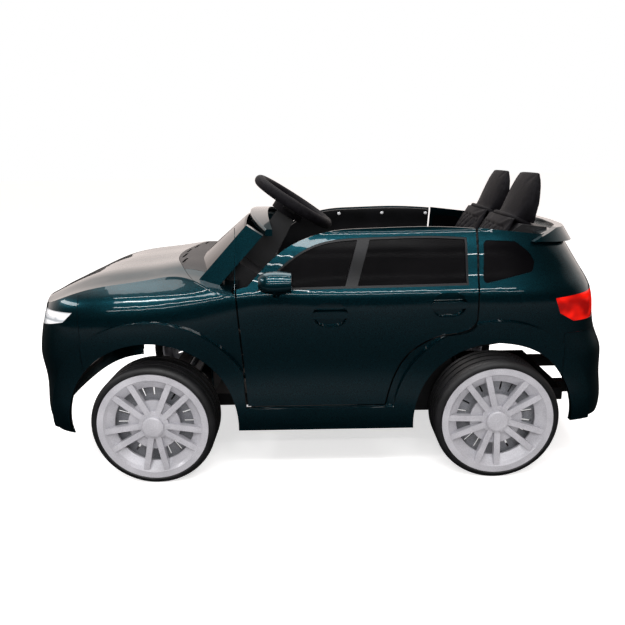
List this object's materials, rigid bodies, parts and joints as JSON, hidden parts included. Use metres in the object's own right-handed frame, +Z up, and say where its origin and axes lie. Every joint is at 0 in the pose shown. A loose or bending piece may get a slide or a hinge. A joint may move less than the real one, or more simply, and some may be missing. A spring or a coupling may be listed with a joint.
{
  "type": "electric ride-on car",
  "caption": "Electric ride-on car for children with opening doors, linked steering, quilted padded seats and silver spoked wheels.",
  "frame": {"origin": "on the ground, at the middle of the bounding box", "axes": "+X along the car towards the tail, +Y towards the car's right side, +Z up"},
  "size_m": [1.21, 0.6892, 0.6037],
  "materials": {
    "body_paint": "gloss metallic",
    "black_plastic": "fine grain",
    "smoked_glass": "gloss",
    "lamp_clear": "gloss",
    "lamp_red": "gloss",
    "seat_leather": "satin",
    "grip_leather": "satin",
    "battery_case": "satin",
    "steel": "satin",
    "trim_grey": "satin",
    "tyre_rubber": "matte",
    "wheel_silver": "metallic",
    "disc_silver": "satin metallic"
  },
  "bodies": {
    "car": {"body_shell": "body_paint", "front_bumper": "body_paint", "rear_bumper": "body_paint", "bonnet": "body_paint", "cowl_panel": "black_plastic", "windscreen": "smoked_glass", "windscreen_cap": "body_paint", "front_grille": "black_plastic", "rear_glass": "smoked_glass", "headlamps": "lamp_clear", "tail_lamps": "lamp_red", "chassis_tray": "black_plastic", "dashboard": "black_plastic", "steering_column": "black_plastic", "seat_base": "black_plastic", "seat_cushion": "seat_leather", "seat_back_left": "seat_leather", "seat_back_right": "seat_leather", "battery": "battery_case", "control_box": "black_plastic", "rear_axle": "steel", "gearboxes": "black_plastic", "drive_motors": "steel"},
    "left_door": {"left_door_skin": "body_paint", "left_door_panel": "black_plastic", "left_door_glass": "smoked_glass", "left_window_trim": "trim_grey", "left_mirror": "body_paint"},
    "right_door": {"right_door_skin": "body_paint", "right_door_panel": "black_plastic", "right_door_glass": "smoked_glass", "right_window_trim": "trim_grey", "right_mirror": "body_paint"},
    "steering": {"steering_wheel": "grip_leather", "steering_pad": "black_plastic", "steering_shaft": "steel"},
    "horn_left": {"horn_button_left": "trim_grey"},
    "horn_right": {"horn_button_right": "trim_grey"},
    "tie": {"tie_rod": "steel"},
    "left_hub": {"left_knuckle": "steel"},
    "right_hub": {"right_knuckle": "steel"},
    "front_left_wheel": {"front_left_tyre": "tyre_rubber", "front_left_rim": "wheel_silver", "front_left_brake_disc": "disc_silver", "front_left_hub_cap": "wheel_silver"},
    "front_right_wheel": {"front_right_tyre": "tyre_rubber", "front_right_rim": "wheel_silver", "front_right_brake_disc": "disc_silver", "front_right_hub_cap": "wheel_silver"},
    "rear_left_wheel": {"rear_left_tyre": "tyre_rubber", "rear_left_rim": "wheel_silver", "rear_left_brake_disc": "disc_silver", "rear_left_hub_cap": "wheel_silver"},
    "rear_right_wheel": {"rear_right_tyre": "tyre_rubber", "rear_right_rim": "wheel_silver", "rear_right_brake_disc": "disc_silver", "rear_right_hub_cap": "wheel_silver"},
    "pedal": {"accelerator_pedal": "black_plastic"},
    "switch": {"direction_switch": "black_plastic"},
    "power": {"power_button": "trim_grey"}
  },
  "joints": [
    {"name": "left_door_swing", "type": "hinge", "parent": "car", "child": "left_door", "pos_m": [-0.137, -0.271, 0.28], "axis": [0, 0, -1], "range_deg": [0, 60]},
    {"name": "right_door_swing", "type": "hinge", "parent": "car", "child": "right_door", "pos_m": [-0.137, 0.271, 0.28], "axis": [0, 0, 1], "range_deg": [0, 60]},
    {"name": "left_knuckle_turn", "type": "hinge", "parent": "car", "child": "left_hub", "pos_m": [-0.3415, -0.196, 0.124], "axis": [0, 0, 1], "range_deg": [-19.6, 19.6]},
    {"name": "right_knuckle_turn", "type": "hinge", "parent": "car", "child": "right_hub", "pos_m": [-0.3415, 0.196, 0.124], "axis": [0, 0, 1], "range_deg": [-19.8, 19.8]},
    {"name": "steering_turn", "type": "hinge", "parent": "car", "child": "steering", "pos_m": [-0.058, -0.102, 0.545], "axis": [0.5534, 0, 0.8329], "range_deg": [-30, 30]},
    {"name": "tie_slide", "type": "slide", "parent": "car", "child": "tie", "axis": [0, 1, 0], "range_m": [-0.0152, 0.0152]},
    {"name": "front_left_spin", "type": "hinge", "parent": "left_hub", "child": "front_left_wheel", "pos_m": [-0.3415, -0.254, 0.124], "axis": [0, 1, 0], "continuous": true},
    {"name": "front_right_spin", "type": "hinge", "parent": "right_hub", "child": "front_right_wheel", "pos_m": [-0.3415, 0.254, 0.124], "axis": [0, 1, 0], "continuous": true},
    {"name": "rear_left_spin", "type": "hinge", "parent": "car", "child": "rear_left_wheel", "pos_m": [0.3415, -0.254, 0.124], "axis": [0, 1, 0], "continuous": true},
    {"name": "rear_right_spin", "type": "hinge", "parent": "car", "child": "rear_right_wheel", "pos_m": [0.3415, 0.254, 0.124], "axis": [0, 1, 0], "continuous": true},
    {"name": "pedal_press", "type": "hinge", "parent": "car", "child": "pedal", "pos_m": [-0.112, -0.058, 0.118], "axis": [0, -1, 0], "range_deg": [0, 14], "stiffness_Nm_per_rad": 0.8, "springref_deg": -11.46},
    {"name": "direction_rock", "type": "hinge", "parent": "car", "child": "switch", "pos_m": [-0.1215, 0.014, 0.368], "axis": [0, 1, 0], "range_deg": [-8, 8]},
    {"name": "power_press", "type": "slide", "parent": "car", "child": "power", "axis": [-1, 0, 0], "range_m": [0, 0.003], "stiffness_N_per_m": 400, "springref_m": -0.002},
    {"name": "horn_left_press", "type": "slide", "parent": "steering", "child": "horn_left", "axis": [-0.5534, 0, -0.8329], "range_m": [0, 0.0025], "stiffness_N_per_m": 400, "springref_m": -0.002},
    {"name": "horn_right_press", "type": "slide", "parent": "steering", "child": "horn_right", "axis": [-0.5534, 0, -0.8329], "range_m": [0, 0.0025], "stiffness_N_per_m": 400, "springref_m": -0.002}
  ],
  "couplings": [
    {"joint": "right_knuckle_turn", "follows": "left_knuckle_turn", "ratio": 1},
    {"joint": "steering_turn", "follows": "left_knuckle_turn", "ratio": 1.527},
    {"joint": "tie_slide", "follows": "left_knuckle_turn", "m_per_rad": 0.04374}
  ]
}
